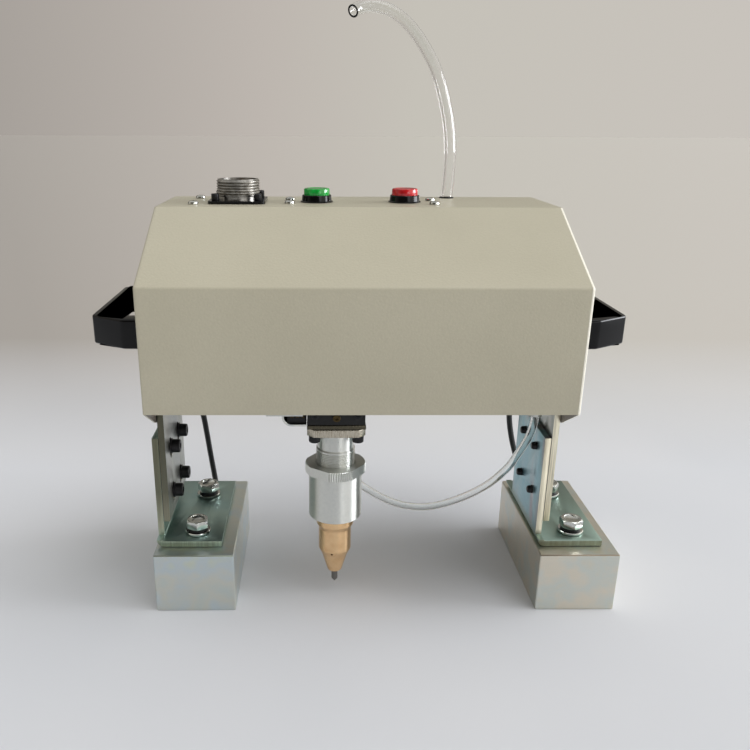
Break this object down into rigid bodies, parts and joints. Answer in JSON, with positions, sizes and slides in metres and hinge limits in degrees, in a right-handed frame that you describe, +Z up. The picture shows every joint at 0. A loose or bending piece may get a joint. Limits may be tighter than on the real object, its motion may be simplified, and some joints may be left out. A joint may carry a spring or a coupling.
{
  "type": "nameplate marking machine",
  "caption": "Bench pin marking machine: a sheet-metal case with X and Y carriages over two magnet feet, moving an air-driven stylus over a nameplate.",
  "frame": {"origin": "middle of the footprint of the machine without its hoses and cables, on the bench", "axes": "+Z up, -Y toward the operator (the front panel faces -Y), +X to the operator's right"},
  "size_m": [0.3244, 0.146, 0.3695],
  "materials": {
    "adapter_plate": "black oxide steel, matt",
    "air_elbow": "black glass-filled plastic, satin",
    "air_valve": "cast aluminium body, satin",
    "connector_insert": "black insulator with contacts, matt",
    "connector_shell": "dark nickel plated, semi-gloss",
    "cover_shell": "beige-grey fine-textured paint, semi-matt",
    "green_cap": "translucent green plastic, gloss",
    "green_switch_body": "black plastic, gloss",
    "home_switch": "black switch on a bright sheet-metal tray",
    "inlet_fitting": "black plastic, satin",
    "inner_supply_hose": "clear plastic hose, gloss",
    "knurled_sleeve": "turned aluminium, fine knurl on its ring",
    "left_back_foot_bolt": "bright zinc plated steel",
    "left_cable_gland": "black plastic, satin",
    "left_clamp_screw_1": "black oxide steel, satin",
    "left_clamp_screw_2": "black oxide steel, satin",
    "left_clamp_screw_3": "black oxide steel, satin",
    "left_clamp_screw_4": "black oxide steel, satin",
    "left_foot_bracket": "zinc plated steel, satin",
    "left_frame_plate": "zinc plated steel, satin",
    "left_front_foot_bolt": "bright zinc plated steel",
    "left_handle": "black plastic, gloss",
    "left_magnet_block": "zinc plated steel, satin",
    "left_magnet_cable": "black cable sheath, satin",
    "left_magnet_coil": "potting resin over the winding, matt",
    "left_side_sheet": "beige-grey fine-textured paint, semi-matt",
    "marking_pin": "dark tungsten carbide, satin",
    "nozzle": "turned brass, satin",
    "red_cap": "translucent red plastic, gloss",
    "red_switch_body": "black plastic, gloss",
    "return_spring": "spring steel, bright",
    "right_back_foot_bolt": "bright zinc plated steel",
    "right_cable_gland": "black plastic, satin",
    "right_clamp_screw_1": "black oxide steel, satin",
    "right_clamp_screw_2": "black oxide steel, satin",
    "right_clamp_screw_3": "black oxide steel, satin",
    "right_clamp_screw_4": "black oxide steel, satin",
    "right_foot_bracket": "zinc plated steel, satin",
    "right_frame_plate": "zinc plated steel, satin",
    "right_front_foot_bolt": "bright zinc plated steel",
    "right_handle": "black plastic, gloss",
    "right_magnet_block": "zinc plated steel, satin",
    "right_magnet_cable": "black cable sheath, satin",
    "right_magnet_coil": "potting resin over the winding, matt",
    "right_side_sheet": "beige-grey fine-textured paint, semi-matt",
    "stylus_cylinder": "turned and milled aluminium, satin",
    "stylus_hose_lower": "clear plastic hose, gloss",
    "stylus_hose_upper": "clear plastic hose, gloss",
    "supply_hose": "clear plastic hose, gloss",
    "top_plate": "machined aluminium, satin",
    "x_carriage": "ground steel, satin",
    "x_motor": "black motor body, satin",
    "x_rail": "ground steel, satin",
    "x_screw": "ground steel, satin",
    "y_beam": "machined aluminium, satin",
    "y_carriage": "ground steel, satin",
    "y_carriage_end_cap": "black plastic, matt",
    "y_motor": "black motor body, satin",
    "y_rail": "ground steel, satin",
    "y_screw": "ground steel, satin"
  },
  "bodies": {
    "feet": {"left_back_foot_bolt": "left_back_foot_bolt", "left_cable_gland": "left_cable_gland", "left_clamp_screw_1": "left_clamp_screw_1", "left_clamp_screw_2": "left_clamp_screw_2", "left_clamp_screw_3": "left_clamp_screw_3", "left_clamp_screw_4": "left_clamp_screw_4", "left_foot_bracket": "left_foot_bracket", "left_front_foot_bolt": "left_front_foot_bolt", "left_magnet_block": "left_magnet_block", "left_magnet_cable": "left_magnet_cable", "left_magnet_coil": "left_magnet_coil", "right_back_foot_bolt": "right_back_foot_bolt", "right_cable_gland": "right_cable_gland", "right_clamp_screw_1": "right_clamp_screw_1", "right_clamp_screw_2": "right_clamp_screw_2", "right_clamp_screw_3": "right_clamp_screw_3", "right_clamp_screw_4": "right_clamp_screw_4", "right_foot_bracket": "right_foot_bracket", "right_front_foot_bolt": "right_front_foot_bolt", "right_magnet_block": "right_magnet_block", "right_magnet_cable": "right_magnet_cable", "right_magnet_coil": "right_magnet_coil"},
    "head": {"cover_shell": "cover_shell", "left_side_sheet": "left_side_sheet", "right_side_sheet": "right_side_sheet", "left_frame_plate": "left_frame_plate", "right_frame_plate": "right_frame_plate", "top_plate": "top_plate", "x_rail": "x_rail", "x_motor": "x_motor", "connector_shell": "connector_shell", "connector_insert": "connector_insert", "green_switch_body": "green_switch_body", "red_switch_body": "red_switch_body", "left_handle": "left_handle", "right_handle": "right_handle", "air_valve": "air_valve", "inlet_fitting": "inlet_fitting", "inner_supply_hose": "inner_supply_hose", "supply_hose": "supply_hose", "stylus_hose_upper": "stylus_hose_upper"},
    "x_screw": {"x_screw": "x_screw"},
    "x_carriage": {"x_carriage": "x_carriage", "y_beam": "y_beam", "y_rail": "y_rail", "y_motor": "y_motor", "stylus_hose_lower": "stylus_hose_lower"},
    "y_screw": {"y_screw": "y_screw"},
    "y_carriage": {"y_carriage": "y_carriage", "y_carriage_end_cap": "y_carriage_end_cap", "adapter_plate": "adapter_plate", "home_switch": "home_switch", "stylus_cylinder": "stylus_cylinder", "air_elbow": "air_elbow"},
    "nozzle": {"nozzle": "nozzle", "return_spring": "return_spring"},
    "sleeve": {"knurled_sleeve": "knurled_sleeve"},
    "pin": {"marking_pin": "marking_pin"},
    "green_cap": {"green_cap": "green_cap"},
    "red_cap": {"red_cap": "red_cap"}
  },
  "joints": [
    {"name": "head_height", "type": "slide", "parent": "feet", "child": "head", "axis": [0, 0, 1], "range_m": [-0.0029, 0.0054], "deforming": ["left_magnet_cable", "right_magnet_cable"]},
    {"name": "x_travel", "type": "slide", "parent": "head", "child": "x_carriage", "axis": [1, 0, 0], "range_m": [-0.05, 0.09], "deforming": ["stylus_hose_upper"]},
    {"name": "x_screw_turn", "type": "hinge", "parent": "head", "child": "x_screw", "pos_m": [-0.00245, 0.04425, 0.1739], "axis": [1, 0, 0], "range_deg": [-5500, 3100]},
    {"name": "y_travel", "type": "slide", "parent": "x_carriage", "child": "y_carriage", "axis": [0, 1, 0], "range_m": [0, 0.07], "deforming": ["stylus_hose_lower"]},
    {"name": "y_screw_turn", "type": "hinge", "parent": "x_carriage", "child": "y_screw", "pos_m": [-0.05105, -0.01305, 0.1419], "axis": [0, 1, 0], "range_deg": [-4300, 100]},
    {"name": "stylus_height", "type": "slide", "parent": "y_carriage", "child": "nozzle", "axis": [0, 0, 1], "range_m": [-0.002, 0.009]},
    {"name": "sleeve_turn", "type": "hinge", "parent": "nozzle", "child": "sleeve", "pos_m": [-0.01665, -0.04305, 0.07], "axis": [0, 0, 1], "range_deg": [-520, 2200]},
    {"name": "pin_stroke", "type": "slide", "parent": "nozzle", "child": "pin", "axis": [0, 0, 1], "range_m": [-0.004, 0], "stiffness_N_per_m": 500, "springref_m": 0.004, "deforming": ["return_spring"]},
    {"name": "green_press", "type": "slide", "parent": "head", "child": "green_cap", "axis": [0, 0, 1], "range_m": [-0.0025, 0], "stiffness_N_per_m": 800, "springref_m": 0.001},
    {"name": "red_press", "type": "slide", "parent": "head", "child": "red_cap", "axis": [0, 0, 1], "range_m": [-0.0025, 0], "stiffness_N_per_m": 800, "springref_m": 0.001}
  ],
  "couplings": [
    {"joint": "x_screw_turn", "follows": "x_travel", "rad_per_m": -1047.2},
    {"joint": "y_screw_turn", "follows": "y_travel", "rad_per_m": -1047.2},
    {"joint": "sleeve_turn", "follows": "stylus_height", "rad_per_m": 4188.8}
  ]
}
